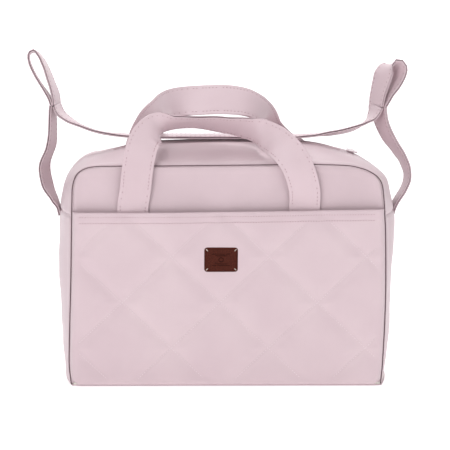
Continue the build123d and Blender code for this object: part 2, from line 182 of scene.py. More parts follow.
# %% Thread, label leather, foam, board, nylon and enamelled metal
def make_speckled(name, light_hex, dark_hex, grain_mm, depth_mm, strength=0.4, **shader):
    """A finish whose colour and surface both follow one noise of that grain size."""
    made, tree, surface, place = new_material(name, **shader)
    spots = add(tree, "ShaderNodeTexNoise", Vector=(place, "Object"), Scale=1 / (grain_mm * MM), Detail=5.0)
    tint(tree, surface, light_hex, dark_hex, (spots, "Fac"))
    bump = add(tree, "ShaderNodeBump", Strength=strength, Distance=depth_mm * MM, Height=(spots, "Fac"))
    tree.links.new(bump.outputs["Normal"], surface.inputs["Normal"])
    return made


# Twisted polyester sewing thread, a little paler than the cloth it holds.
thread = make_speckled("polyester_thread_pink", "#E6D8DC", "#D9C8CD", 0.5, 0.05, Roughness=0.6)
# The same kind of thread, coloured darker as painted shade: the shade it would lie in, sunk in its own
# stitch holes.
thread_painted_shade = make_speckled("polyester_thread_painted_shade", "#B6969E", "#A3838B", 0.5, 0.05, Roughness=0.7)
# Dark knitted backing cloth: partly the real cut edge in the strap's folded edges, and partly painted shade,
# the thin dark line that shade deep in every seam gives.
raw_backing_and_painted_shade = make_speckled("leatherette_raw_backing_and_painted_shade", "#6A565B", "#58474C", 0.6, 0.1, Roughness=0.95)
# Waxed thread, paler than the label it holds.
label_thread = make_speckled("waxed_thread_pale", "#E9DDD2", "#CBB9AA", 0.5, 0.05, Roughness=0.5)
# Waxed full-grain hide: deep red brown, darker in its pores, with a dull shine.
hide = make_speckled("waxed_hide_brown", "#54251A", "#371610", 1.4, 0.1, 0.5, Roughness=0.75,
                     Specular_IOR_Level=0.12)
# Pressed marks in the hide, darker where the hot die has burnished it.
pressed = make_speckled("waxed_hide_pressed", "#2A100B", "#1B0A07", 0.9, 0.06, 0.4, Roughness=0.8,
                        Specular_IOR_Level=0.05)
foam = make_speckled("polyurethane_foam", "#EFEDE6", "#DAD6CC", 1.2, 0.3, Roughness=0.95)
board = make_speckled("pressed_fibreboard", "#3A3836", "#2A2826", 1.0, 0.1, Roughness=0.8)
nylon = make_speckled("nylon_coil_moulded", "#D3BAC1", "#C4A8B0", 0.8, 0.05, Roughness=0.35, IOR=1.53)
enamelled = make_speckled("zinc_enamelled_pink", "#CBB6BC", "#C3ADB4", 1.5, 0.02, 0.2, Roughness=0.3,
                          Coat_Weight=0.4, Coat_Roughness=0.15)
print("small finishes:", [m.name for m in (thread, hide, pressed, foam, board, nylon, enamelled)])

# %% Give the CAD pieces that stay visible their finish
cad_finish = {
    "lining_cloth": lining, "binding": binding, "board": board, "zip_tape": tape,
    "zip_teeth": nylon, "zip_metal": enamelled, "foam": foam, "leatherette": leatherette,
    "quilted_leatherette": quilted, "label_leather": hide, "label_thread": label_thread,
    "seam_thread": thread,
}
for part in frame["record"]["subparts"]:
    slots = nodes[part["node"]].data.materials
    for place in range(max(1, len(slots))):
        if len(slots):
            slots[place] = cad_finish[part["material_slot"]]
        else:
            slots.append(cad_finish[part["material_slot"]])


# %% [markdown]
# ## From a flat grid to a curved piece
# A pattern cutter starts from flat cloth and bends it into the bag, and so does this helper.
# It makes a flat grid with an operator, and then asks a rule where each grid point goes.
# A rule per piece keeps the code short, and neighbours that share a rule meet without a gap.

# %% Helpers that make and finish a piece
pieces = {}


def smooth(value):
    """Nought to one with soft ends."""
    value = min(1.0, max(0.0, value))
    return value * value * (3 - 2 * value)


def finish_piece(mesh, name, material, body, stands_for=(), thickness=0.0, bend=None):
    """Turns a bmesh in millimetres into an object in metres, on its body; given a bend, it is left
    unparented where it lies.
    """
    bmesh.ops.recalc_face_normals(mesh, faces=mesh.faces)
    mesh.edges.index_update()
    rims = [edge.index for edge in mesh.edges if edge.is_boundary]
    data = bpy.data.meshes.new(name)
    bmesh.ops.scale(mesh, vec=(MM, MM, MM), verts=mesh.verts)
    mesh.to_mesh(data)
    mesh.free()
    for polygon in data.polygons:
        polygon.use_smooth = True
    for index in rims:
        data.edges[index].use_edge_sharp = True
    piece = bpy.data.objects.new(name, data)
    bpy.context.scene.collection.objects.link(piece)
    for one in (material if isinstance(material, list) else [material]):
        data.materials.append(one)
    if thickness:
        shell = piece.modifiers.new("cloth_thickness", "SOLIDIFY")
        shell.thickness = thickness * MM
        shell.offset = -1.0
    if bend:
        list(bend)
        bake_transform(piece)
    else:
        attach(piece, body)
    if stands_for:
        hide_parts(*stands_for)
    pieces[name] = piece
    return piece


def cloth(rule, across, along):
    """A grid whose points go where rule(u, v) says, with u and v from 0 to 1."""
    mesh = bmesh.new()
    bmesh.ops.create_grid(mesh, x_segments=across, y_segments=along, size=0.5)
    for vert in mesh.verts:
        vert.co = rule(vert.co.x + 0.5, vert.co.y + 0.5)
    bmesh.ops.remove_doubles(mesh, verts=mesh.verts, dist=0.02)
    return mesh


def paint_seam_shade(mesh, seam_y, reach):
    """Gives the faces within reach of a seam, on its inner side, the second material: dark painted shade
    along the seam.
    """
    for face in mesh.faces:
        if seam_y - abs(face.calc_center_median().y) < reach:
            face.material_index = 1
    return mesh


print("helpers ready")

# %% [markdown]
# ## The shape of the body
# The bag is a tube of cloth round two flat panels, so two outlines describe it: the seam
# round a panel, and the ridge halfway between the panels, where the cloth swells most.
# Each line below is one station: the seam point, then the ridge point beside it.
# The two sides differ a little, as the two sides of a soft bag do.

# %% Stations round the body, in millimetres
stations = [
    ((-193, 2.5), (-205, 2.5)), ((-195.5, 29), (-207, 32)), ((-194.5, 73), (-207.8, 75)),
    ((-192.5, 138), (-210, 138)), ((-191.5, 188), (-211.3, 186)), ((-191, 213), (-209.6, 213)),
    ((-190.5, 232), (-207.5, 231)), ((-189.5, 250), (-202, 250.5)), ((-184.5, 263.5), (-191.5, 265.5)),
    ((-174, 271), (-177, 276.5)), ((-160, 273.6), (-159, 280.9)), ((-142, 274), (-142, 285.9)),
    ((-95, 274.3), (-95, 295)), ((0, 275.4), (0, 298)), ((95, 276.6), (95, 296)),
    ((142, 275.6), (142, 286.6)), ((159, 272.8), (160, 281.4)), ((171, 268.6), (175, 273.5)),
    ((181, 262), (188.5, 264.5)), ((187, 253), (199.5, 254)), ((189.5, 238), (204.5, 238)),
    ((191.5, 213), (209.8, 213)), ((193, 186), (211.2, 190)), ((194.5, 122), (210.4, 132)),
    ((194, 73), (208, 75)), ((192.5, 28), (205, 32)), ((190.5, 2.5), (202.5, 2.5)),
]
left_seam, left_flap, right_flap, right_seam = 5, 11, 15, 21
last = len(stations) - 1
half_depth = 80.0
gusset_half = 77.6
# How far from a seam the cloth's faces are coloured dark, as painted shade.
seam_shade_reach = 0.75
shoulder_z = 213.0


def catmull(points, place):
    """Smooth curve through a list of points, at a place counted in points."""
    index = min(int(place), len(points) - 2)
    share = place - index
    near, far = Vector(points[index]), Vector(points[index + 1])
    before = Vector(points[index - 1]) if index else near * 2 - far
    after = Vector(points[index + 2]) if index + 2 < len(points) else far * 2 - near
    start = (far - before) * 0.5
    end = (after - near) * 0.5
    return (near * (2 * share ** 3 - 3 * share ** 2 + 1) + start * (share ** 3 - 2 * share ** 2 + share)
            + far * (3 * share ** 2 - 2 * share ** 3) + end * (share ** 3 - share ** 2))


seam_points = [Vector(seam) for seam, ridge in stations]
ridge_points = [Vector(ridge) for seam, ridge in stations]
print("stations:", len(stations), "ridge top:", max(p.y for p in ridge_points), "mm")


# %% A point on the soft wall between the two panels
def ripple(x, y, z, size, height, seed=0.0):
    """Gentle irregular waves of that size and height, in millimetres."""
    return height * noise.noise(Vector((x / size + seed, y / size, z / size)))


def gusset_point(place, t):
    """Point of the wall at a station place, t from -1 at the front seam to 1 at the back seam."""
    seam = catmull(seam_points, place)
    ridge = catmull(ridge_points, place)
    step = 0.05
    ahead = catmull(ridge_points, min(last, place + step)) - catmull(ridge_points, max(0, place - step))
    outward = Vector((-ahead.y, ahead.x)).normalized()
    swell = 1 - abs(t) ** 2.3
    flat = seam + (ridge - seam) * swell
    y = t * gusset_half
    edge = (1 - abs(t)) * gusset_half
    roll = -4.4 * math.exp(-(edge / 1.15) ** 2) + 1.2 * math.exp(-((edge - 5.0) / 4.0) ** 2)
    top = smooth((flat.y - 200) / 60)
    soft = 1 - math.exp(-(edge / 12) ** 2)
    wave = ripple(flat.x, y, flat.y, 62, 2.6 - 1.2 * top, 3.1) * soft
    wave += ripple(flat.x, y * 0.6, flat.y, 26, 0.9, 8.7) * soft
    pucker = 0.0
    for crease, lean in ((7.1, 0.02), (7.75, 0.035), (18.1, -0.03)):
        pucker -= 1.5 * math.exp(-((place - crease + lean * edge) / 0.13) ** 2) * math.exp(-(edge / 15) ** 2)
    near_zip = top * math.exp(-(y / 13) ** 2)
    wave *= (1 - 0.45 * smooth((flat.y - 262) / 16)) * (1 - 0.85 * near_zip)
    trough = -1.3 * top * math.exp(-(y / 6.5) ** 2)
    place_2d = flat + outward * (roll + wave + trough + (pucker if t < 0 else 0.0))
    return Vector((place_2d.x, y, max(0.4, place_2d.y)))


def wall_patch(start, end, front, back, lengthwise, crosswise):
    """Grid over part of the wall, closer spaced near the seams where cloth rolls over."""
    def rule(u, v):
        t = front + (back - front) * u
        crowd = math.sin(t * math.pi / 2) * 0.85 + t * 0.15
        return gusset_point(start + (end - start) * v, crowd)
    return paint_seam_shade(cloth(rule, crosswise, lengthwise), gusset_half, seam_shade_reach)


probe = gusset_point((left_flap + right_flap) / 2, 0)
print("top of the wall at its middle:", [round(v, 1) for v in probe])

# %% [markdown]
# ## Side walls and shoulders
# Each side wall is one length of cloth sewn to both panels, and a second length starts at a
# seam two thirds up, where the strap is caught in. They could be one mesh with a bump for
# the seam, but two meshes that both roll in towards the seam show the true fold.

# %% Side walls and the two rounded shoulders
def with_cross_seam(mesh, height, width=2.0, depth=2.2):
    """Rolls the cloth in towards the seam that runs across a side wall at that height."""
    for vert in mesh.verts:
        gap = abs(vert.co.z - height)
        vert.co.x -= math.copysign(depth * math.exp(-(gap / width) ** 2), vert.co.x)
    return mesh


for side, low, high, low_top, high_top in (
        ("left", 0, left_seam, left_seam, left_flap), ("right", right_seam, last, right_flap, right_seam)):
    wall = with_cross_seam(wall_patch(low, high, -1, 1, 84, 88), shoulder_z)
    finish_piece(wall, side + "_side_wall", [leatherette, raw_backing_and_painted_shade], "bag",
                 (side + "_side_gusset", side + "_foam"), 3.6)
    shoulder = with_cross_seam(wall_patch(low_top, high_top, -1, 1, 96, 88), shoulder_z)
    finish_piece(shoulder, side + "_shoulder", [leatherette, raw_backing_and_painted_shade], "bag",
                 (side + "_corner_gusset", side + "_zip_end"), 2.2)
print("walls:", list(pieces))

# %% [markdown]
# ## The opening top
# Two strips of cloth meet at the zip. On the real bag they fold down into it when it opens.
# Here each strip is built in its closed place and stays fixed there.

# %% Top strips on each side of the zip
zip_gap = 4.6
for side, turn in (("front", -1), ("back", 1)):
    near, far = sorted((turn * 1.0, turn * zip_gap / gusset_half))

    def strip_rule(u, v, near=near, far=far):
        share = 1 - (1 - u) ** 1.9 if near > 0 else u ** 1.9
        share = 1 - math.sin((1 - share) * math.pi / 2) if near < 0 else math.sin(share * math.pi / 2)
        t = near + (far - near) * share
        point = gusset_point(left_flap + (right_flap - left_flap) * v, t)
        fold = math.exp(-((abs(point.y) - zip_gap) / 2.2) ** 2)
        point.z += 0.5 * math.exp(-((abs(point.y) - zip_gap - 4) / 3) ** 2) - 0.4 * fold
        return point
    strip = paint_seam_shade(cloth(strip_rule, 60, 130), gusset_half, seam_shade_reach)
    hinge_y = turn * 74.5
    finish_piece(strip, side + "_top_strip", [leatherette, raw_backing_and_painted_shade], "bag",
                 (side + "_seam_strip", side + "_top_flap"), 1.9,
                 bend=("bag", side + "_flap", (0, (hinge_y + turn * 2.6) * MM, 0.276),
                       (0, (hinge_y - turn * 3.0) * MM, 0.276)))
print("zip gap:", zip_gap, "mm each side")


# %% [markdown]
# ## The zip
# A coil zip shows two rows of small nylon turns between two tapes.
# One turn is a rounded bead, copied along the ridge; a few dozen faces each is plenty.

# %% Beads laid along a line
def beads(name, spots, size, material, body, stands_for=(), bend=None):
    """Small rounded beads. Each spot is (middle, direction, normal); size is (length, width, height)."""
    mesh = bmesh.new()
    for middle, direction, normal in spots:
        ahead = Vector(direction).normalized()
        beside = Vector(normal).cross(ahead).normalized()
        up = ahead.cross(beside)
        turn = Matrix((ahead * size[0] / 2, beside * size[1] / 2, up * size[2] / 2)).transposed().to_4x4()
        bmesh.ops.create_icosphere(mesh, subdivisions=1, radius=1.0,
                                   matrix=Matrix.Translation(Vector(middle)) @ turn)
    return finish_piece(mesh, name, material, body, stands_for, bend=bend)


# %% Zip tapes and teeth
def ridge_frame(place):
    """Ridge point at a place, with its direction and its outward normal."""
    here = gusset_point(place, 0)
    ahead = (gusset_point(min(last, place + 0.02), 0) - gusset_point(max(0, place - 0.02), 0)).normalized()
    return here, ahead, ahead.cross(Vector((0, 1, 0))) * -1


tooth_pitch = 2.4
tooth_size = (1.5, 2.6, 1.5)


def ridge_walk(start, end, pitch):
    """Station places along the ridge, one pitch apart."""
    places, here, place = [], gusset_point(start, 0), start
    while place < end:
        if (gusset_point(place, 0) - here).length >= pitch:
            here = gusset_point(place, 0)
            places.append(place)
        place += 0.004
    return places


flap_places = ridge_walk(left_flap + 0.04, right_flap - 0.04, tooth_pitch)
for side, turn in (("front", -1), ("back", 1)):
    def tape_rule(u, v, turn=turn):
        here, ahead, normal = ridge_frame(left_flap + 0.01 + (right_flap - left_flap - 0.02) * v)
        return here + Vector((0, turn * (1.4 + 8.6 * u), 0)) - normal * (1.7 + 0.1 * u)
    tape_mesh = cloth(tape_rule, 4, 90)
    finish_piece(tape_mesh, "zip_tape_cloth_" + side, tape, side + "_flap",
                 ("zip_tape_" + side,), 0.7)
    row = []
    for place in flap_places:
        here, ahead, normal = ridge_frame(place)
        row.append((here + Vector((0, turn * 2.2, 0)) - normal * 1.0, ahead, normal))
    beads("zip_coil_" + side, row, tooth_size, nylon, side + "_flap", ("zip_teeth_" + side,))
print("teeth in a row:", len(flap_places))

# %% The zip runs on over each shoulder
for side, start, end in (("left", left_seam + 0.6, left_flap), ("right", right_flap, right_seam - 0.6)):
    def end_rule(u, v, start=start, end=end):
        here, ahead, normal = ridge_frame(start + (end - start) * v)
        return here + Vector((0, (u - 0.5) * 10.4, 0)) + normal * 0.35
    end_tape = cloth(end_rule, 6, 60)
    finish_piece(end_tape, side + "_zip_tail", tape, "bag", (), 0.5)
    row = []
    for place in ridge_walk(start + 0.1, end - 0.02, tooth_pitch):
        here, ahead, normal = ridge_frame(place)
        for turn in (-1, 1):
            row.append((here + Vector((0, turn * 1.3, 0)) + normal * 0.75, ahead, normal))
    beads(side + "_zip_tail_coil", row, (1.5, 2.4, 1.2), nylon, "bag")
print("zip tails done")


# %% [markdown]
# ## The line of each seam
# Deep in a turned seam, where the cut edges of two skins meet, the shade gathers into one thin dark
# line. The groove alone would need much finer cloth to shade so sharply.
# A slim dark round cord laid in the groove is painted shade: it draws that line with few faces.

# %% Painted shade: a dark cord in the seams round both panels
def cord_mesh(points, radius, sides=8):
    """A closed tube through the points."""
    mesh = bmesh.new()
    rings = []
    for index, spot in enumerate(points):
        ahead = points[min(index + 1, len(points) - 1)] - points[max(index - 1, 0)]
        first = ahead.cross(Vector((0, 1, 0))).normalized()
        second = ahead.cross(first).normalized()
        rings.append([mesh.verts.new(spot + (first * math.cos(a) + second * math.sin(a)) * radius)
                      for a in (2 * math.pi * k / sides for k in range(sides))])
    for ring, following in zip(rings, rings[1:]):
        for k in range(sides):
            mesh.faces.new((ring[k], ring[(k + 1) % sides], following[(k + 1) % sides], following[k]))
    mesh.faces.new(rings[0])
    mesh.faces.new(list(reversed(rings[-1])))
    return mesh


seam_steps = 420
seam_middle = Vector((0, 140))
for side, turn in (("front", -1), ("back", 1)):
    spots = []
    for step in range(seam_steps + 1):
        flat = catmull(seam_points, last * step / seam_steps)
        out = (flat - seam_middle).normalized() * 0.5
        spots.append(Vector((flat.x + out.x, turn * (half_depth + 0.35), max(0.9, flat.y + out.y))))
    finish_piece(cord_mesh(spots, 0.65), side + "_seam_painted_shade", raw_backing_and_painted_shade, "bag")
print("seam lines laid")

# %% [markdown]
# ## Front and back panels
# A panel is a flat cut piece whose edge rolls into the seam. A patch that blends its four
# border curves follows the seam exactly, and its grid bends round the corners by itself.

# %% A patch inside the seam
left_corner, right_corner = 8.4, 17.6


def panel_place(u, v):
    """Point inside the panel's seam, and its distance from the nearest seam, in millimetres."""
    left = catmull(seam_points, left_corner * v)
    right = catmull(seam_points, last - (last - right_corner) * v)
    top = catmull(seam_points, left_corner + (right_corner - left_corner) * u)
    low_left, low_right = seam_points[0], seam_points[last]
    low = low_left.lerp(low_right, u)
    corner_left = catmull(seam_points, left_corner)
    corner_right = catmull(seam_points, right_corner)
    blend_u = left.lerp(right, u)
    blend_v = low.lerp(top, v)
    corners = low_left.lerp(low_right, u).lerp(corner_left.lerp(corner_right, u), v)
    flat = blend_u + blend_v - corners
    gap = min((flat - left).length, (flat - right).length, (flat - top).length, (flat - low).length)
    return flat, gap


def crowded(value, strength=0.5):
    """Moves evenly spaced values towards both ends, where an edge needs more points."""
    return value * (1 - strength) + strength * (0.5 - 0.5 * math.cos(math.pi * value))


def panel_rule(side):
    """Rule for the front (-1) or back (1) panel."""
    def rule(u, v):
        flat, gap = panel_place(crowded(u, 0.88), crowded(v, 0.88))
        edge = 4.4 * math.exp(-(gap / 1.15) ** 2) - 0.4 * math.exp(-((gap - 6) / 4) ** 2)
        swell = ripple(flat.x, side * 9, flat.y, 75, 0.9, 5.0) * smooth(gap / 30)
        middle = smooth(gap / 60) * (1.5 if side > 0 else 0.0)
        depth = half_depth - 0.5 - edge + swell * (1.0 if side > 0 else 0.6) + middle
        return Vector((flat.x, side * depth, max(0.5, flat.y)))
    return rule


for side, turn in (("front", -1), ("back", 1)):
    sheet = cloth(panel_rule(turn), 110, 90)
    # Faces deep in the rolled-in edge take the dark second material: painted shade of the seam.
    for face in sheet.faces:
        if abs(face.calc_center_median().y) < half_depth - 3.3:
            face.material_index = 1
    finish_piece(sheet, side + "_panel_skin", [leatherette, raw_backing_and_painted_shade], "bag",
                 (side + "_panel", side + "_foam"), 3.8)
print("panels done")

# %% [markdown]
# ## The quilted front pocket
# The pocket is leatherette over thin foam, stitched through in wide diamonds.
# A cloth simulation could puff each diamond, but the real quilting is very shallow and
# even, so the rule below lowers the cloth along each stitched line and swells it between.
# Its edge turns back into the seams at the sides and the base, and its mouth is a turned hem.

# %% Quilting lines
diamond_half_width, diamond_half_height = 60.0, 57.0
quilt_x, quilt_z = -10.0, 107.0
pocket_low, border = 1.5, 8.5
pocket_back_y, pocket_front_y = 78.6, 89.6
line_length = math.hypot(diamond_half_width, diamond_half_height)
line_spacing = 2 * diamond_half_width * diamond_half_height / line_length


def quilt_gap(x, z):
    """Distance in millimetres to the nearest line of quilting."""
    across = (x - quilt_x) / diamond_half_width
    up = (z - quilt_z) / diamond_half_height
    gaps = []
    for diagonal in ((across + up) / 2, (across - up) / 2):
        gaps.append(abs(diagonal - round(diagonal)) * line_spacing)
    return min(gaps)


def mouth_height(x):
    """Top of the pocket, which sinks a little towards the left."""
    return 218.6 + 4.2 * smooth((x + 190) / 380) - 1.0 * math.sin(math.pi * (x + 190) / 380)


def pocket_surface(x, z, edge):
    """How far forward the pocket's outside stands, for a distance from its sewn edge."""
    rise = math.sqrt(max(0.0, 1 - (1 - min(1.0, edge / border)) ** 2.4))
    puff = 1.9 * (1 - math.exp(-(quilt_gap(x, z) / 9) ** 2)) - 0.9
    puff += 0.25 * ripple(x, 4, z, 13, 1.0, 2.0) * math.exp(-(quilt_gap(x, z) / 12) ** 2)
    sag = ripple(x, 0, z, 90, 1.0, 11.0)
    return pocket_back_y + (pocket_front_y - pocket_back_y) * rise + (puff + sag) * smooth(edge / 16)


hem_height = 14.0
print("line spacing:", round(line_spacing, 1), "mm")


# %% Pocket panel
def seam_x(z, start, end):
    """Where the bag's side seam is at a height, between two stations."""
    low, high = start, end
    for _ in range(18):
        middle = (low + high) / 2
        if catmull(seam_points, middle).y < z:
            low = middle
        else:
            high = middle
    return catmull(seam_points, low).x


side_step = 4
side_table = [(seam_x(z, 0, left_seam + 1.5) + 0.5, seam_x(z, last, right_seam - 1.5) - 0.5)
              for z in range(0, 232, side_step)]


def pocket_sides(z):
    """Left and right edge of the pocket at a height: it is caught in the bag's side seams."""
    place = min(len(side_table) - 2, max(0, int(z / side_step)))
    share = min(1.0, max(0.0, z / side_step - place))
    return [side_table[place][i] * (1 - share) + side_table[place + 1][i] * share for i in (0, 1)]


def pocket_rule(u, v):
    """Point of the quilted panel, which tucks in round its lower corners."""
    cu, cv = crowded(u, 0.7), v ** 1.2
    left, right = pocket_sides(60)
    top = mouth_height(left + (right - left) * cu) - hem_height + 1.2
    z = pocket_low + (top - pocket_low) * cv
    left, right = pocket_sides(z)
    x = left + (right - left) * cu
    side_gap, low_gap = min(x - left, right - x), z - pocket_low
    inner = math.hypot(max(0.0, border - side_gap), max(0.0, border - low_gap))
    edge = max(0.0, border - inner) if inner > 0 else min(side_gap, low_gap)
    tuck = smooth(1 - side_gap / 9) * smooth(1 - low_gap / 9) * 3.0
    return Vector((x - math.copysign(tuck, x), -pocket_surface(x, z, edge), z + tuck * 0.8))


pocket_mesh = cloth(pocket_rule, 190, 118)
pocket = finish_piece(pocket_mesh, "pocket_quilted_panel", quilted, "bag",
                      ("pocket_panel", "pocket_foam"), 3.2)
print("pocket points:", len(pocket.data.vertices))


# %% Turned hem along the pocket's mouth
def hem_rule(u, v):
    """Point of the hem: up the front, over the fold at the mouth and down behind."""
    left, right = pocket_sides(214)
    px = left + (right - left) * crowded(u, 0.7)
    top = mouth_height(px)
    wide = 4.2
    turn = v * 3.0
    edge = min(px - left, right - px)
    if turn < 1.25:
        share = turn / 1.25
        z = top - hem_height + (hem_height - wide / 2) * share
        out = 0.55 - 0.9 * math.exp(-((z - top + hem_height) / 1.3) ** 2)
    elif turn < 1.85:
        angle = (turn - 1.25) / 0.6 * math.pi
        z = top - wide / 2 + wide / 2 * math.sin(angle)
        out = 0.55 - (1 - math.cos(angle)) * wide / 2
    else:
        share = (turn - 1.85) / 1.15
        z = top - wide / 2 - (hem_height + 4) * share
        out = 0.55 - wide
    wave = 0.25 * math.sin(px / 9.0 + 2 * noise.noise(Vector((px / 30, 0, 0))))
    return Vector((px, -pocket_surface(px, z, edge) - out - wave * 0.5, z + wave * 0.4))


hem = cloth(hem_rule, 150, 40)
finish_piece(hem, "pocket_turned_hem", leatherette, "bag", ("pocket_hem",), 0.9)


# %% Rows of stitches on the pocket
def line_spots(points, pitch, offset):
    """Stitch spots along points on the pocket front, pitch apart, offset outwards."""
    spots, run = [], 0.0
    for (x0, z0), (x1, z1) in zip(points, points[1:]):
        length = math.hypot(x1 - x0, z1 - z0)
        while run < length:
            share = run / length
            x, z = x0 + (x1 - x0) * share, z0 + (z1 - z0) * share
            spots.append((x, z, x1 - x0, z1 - z0))
            run += pitch
        run -= length
    return [(Vector((x, -pocket_surface(x, z, 20) - offset, z)), Vector((dx, 0, dz)), Vector((0, -1, 0)))
            for x, z, dx, dz in spots]


stitch_pitch = 3.6
quilt_spots = []
for slant in (-1, 1):
    for count in range(-4, 5):
        line = []
        for step in range(0, 400):
            x = -182 + step * 0.92
            z = quilt_z + slant * ((x - quilt_x) / diamond_half_width - 2 * count) * diamond_half_height
            if 9 < z < mouth_height(x) - hem_height - 2:
                line.append((x, z))
        if len(line) > 4:
            quilt_spots += line_spots(line, stitch_pitch, 0.05)
beads("pocket_quilting_stitches", quilt_spots, (2.6, 0.8, 0.5), thread, "bag")
hem_spots = []
for drop in (13.0, 5.6):
    hem_spots += line_spots([(x, mouth_height(x) - drop) for x in range(-181, 182, 3)], 3.2, 0.62)
# The hem stitches use the darker thread, whose colour is painted shade.
beads("pocket_hem_stitches", hem_spots, (1.7, 0.9, 0.65), thread_painted_shade, "bag")
print("stitches on the pocket:", len(quilt_spots) + len(hem_spots))

# %% [markdown]
# ## The leather label
# A small die-cut patch of waxed hide, held by a short slanted stitch at each corner.
# Its mark is pressed in with a die. Here it is a plain ring between short rules, lowered
# into a fine grid, because a pressed mark has rounded walls that a cut-out would not.

# %% Label patch with a pressed mark
label_low, label_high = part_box("label_patch")
label_x = (label_low.x + label_high.x) / 2 / MM
label_z = (label_low.z + label_high.z) / 2 / MM
label_w, label_h, label_r = 42.0, 31.0, 4.0
label_back_y = 89.4


def rounded_gap(x, z, half_w, half_h, corner):
    """Signed distance to a rounded rectangle: negative inside."""
    dx, dz = abs(x) - half_w + corner, abs(z) - half_h + corner
    return math.hypot(max(dx, 0), max(dz, 0)) + min(max(dx, dz), 0) - corner


def mark_depth(x, z):
    """Nought to one inside the pressed mark: a plain ring, two rules and a border line."""
    ring = smooth(1.5 - abs(math.hypot(x, z) - 2.6) / 0.45)
    rules = 0.0
    for height, reach in ((7.0, 11.5), (4.9, 8.0), (-5.0, 8.0), (-7.1, 11.5)):
        gaps = 0.5 + 0.5 * smooth(abs(math.sin(x * 1.15)) * 3)
        rules = max(rules, smooth(1.5 - abs(z - height) / 0.42) * smooth((reach - abs(x)) / 0.8) * gaps)
    frame_line = abs(rounded_gap(x, z, label_w / 2 - 2.4, label_h / 2 - 2.4, 2.4))
    return max(ring, rules, 0.6 * smooth(1.3 - frame_line / 0.35))


def label_rule(u, v):
    """Point of the label: rings that shrink from its rounded outline to its middle."""
    x, z = (u - 0.5) * 2, (v - 0.5) * 2
    grip = max(abs(x), abs(z), 1e-6)
    angle = math.atan2(z * label_h, x * label_w)
    ray = Vector((math.cos(angle), math.sin(angle)))
    low, high = 0.0, 40.0
    for _ in range(22):
        mid = (low + high) / 2
        if rounded_gap(ray.x * mid, ray.y * mid, label_w / 2, label_h / 2, label_r) < 0:
            low = mid
        else:
            high = mid
    spot = ray * low * grip
    rim = -rounded_gap(spot.x, spot.y, label_w / 2, label_h / 2, label_r)
    height = 1.7 * math.sqrt(max(0.0, 1 - (1 - min(1, rim / 1.1)) ** 2))
    height -= 0.25 * mark_depth(spot.x, spot.y) + 0.06 * noise.noise(Vector((spot.x, spot.y, 0)) * 0.5)
    return Vector((label_x + spot.x, -label_back_y - height, label_z + spot.y))


label_mesh = cloth(label_rule, 120, 92)
for face in label_mesh.faces:
    middle = face.calc_center_median()
    face.material_index = 1 if mark_depth(middle.x - label_x, middle.z - label_z) > 0.55 else 0
finish_piece(label_mesh, "label_hide_patch", [hide, pressed], "bag", ("label_patch",), 1.0)
corner_spots = []
for sx in (-1, 1):
    for sz in (-1, 1):
        corner_spots.append((Vector((label_x + sx * 17.4, -label_back_y - 1.75, label_z + sz * 11.9)),
                             Vector((1, 0, sx * sz)), Vector((0, -1, 0))))
beads("label_corner_stitches", corner_spots, (4.2, 1.0, 0.8), label_thread, "bag",
      ("label_stitches",))
print("label middle:", round(label_x, 1), round(label_z, 1))


# %% [markdown]
# ## Ribbons: the handles and the long strap
# A strap is a folded strip, stitched along both edges. Its section is a flat rounded oblong
# with a shallow groove under each row of stitches. A grid is wrapped round that section and
# carried along a route, turning evenly from one station to the next, as the CAD ribbon does.

# %% A ribbon along a route
def ribbon_frames(route, spacing):
    """(point, along, across) every spacing millimetres or so along (point, across) stations."""
    points = [Vector(point) for point, across in route]
    turns = [Vector(across).normalized() for point, across in route]
    frames = []
    for index in range(len(points) - 1):
        length = (points[index + 1] - points[index]).length
        steps = max(2, round(length / spacing))
        for step in range(steps + (index == len(points) - 2)):
            share = step / steps
            here = catmull(points, index + share)
            near = catmull(points, max(0, index + share - 0.01))
            far = catmull(points, min(len(points) - 1, index + share + 0.01))
            along = (far - near).normalized()
            mix = smooth(share)
            across = turns[index] * (1 - mix) + turns[index + 1] * mix
            across = (across - along * across.dot(along)).normalized()
            frames.append((here, along, across))
    return frames


stitch_inset, stitch_groove, face_share = 3.8, 0.42, 0.62


def ribbon_crown(side, width):
    """How much fuller the strip's middle is than its edges."""
    return 0.25 * (1 - (side / (width / 2)) ** 2)


def ribbon_wave(here, side, seed):
    """How far the strip wanders from flat, as one that has been handled does."""
    swell = ripple(here.x, here.y, here.z, 34, 0.5, seed)
    return 0.5 * (swell + 0.25 * math.sin(side / 5 + here.length / 11))


def section_point(turn, width, thickness):
    """Point of the ribbon's section: across and out, for a turn from 0 to 1 round it.

    The strip is folded and stitched, so each edge is two rounded lips with a slit between.
    """
    flat, half = width / 2 - thickness * 0.3, thickness / 2
    turn = turn % 1.0
    back = turn >= 0.5
    turn = (turn - 0.5) * 2 if back else turn * 2
    if turn < face_share:
        side = -flat + 2 * flat * turn / face_share
        groove = width / 2 - stitch_inset - abs(side)
        out = half + ribbon_crown(side, width) - stitch_groove * math.exp(-(groove / 0.9) ** 2)
    else:
        share = (turn - face_share) / (1 - face_share)
        out = half * math.cos(math.pi * share)
        lip = abs(math.sin(2 * math.pi * share)) ** 0.7
        side = flat + thickness * 0.3 * lip - 1.3 * math.exp(-((share - 0.5) / 0.09) ** 2)
    return (-side, -out) if back else (side, out)


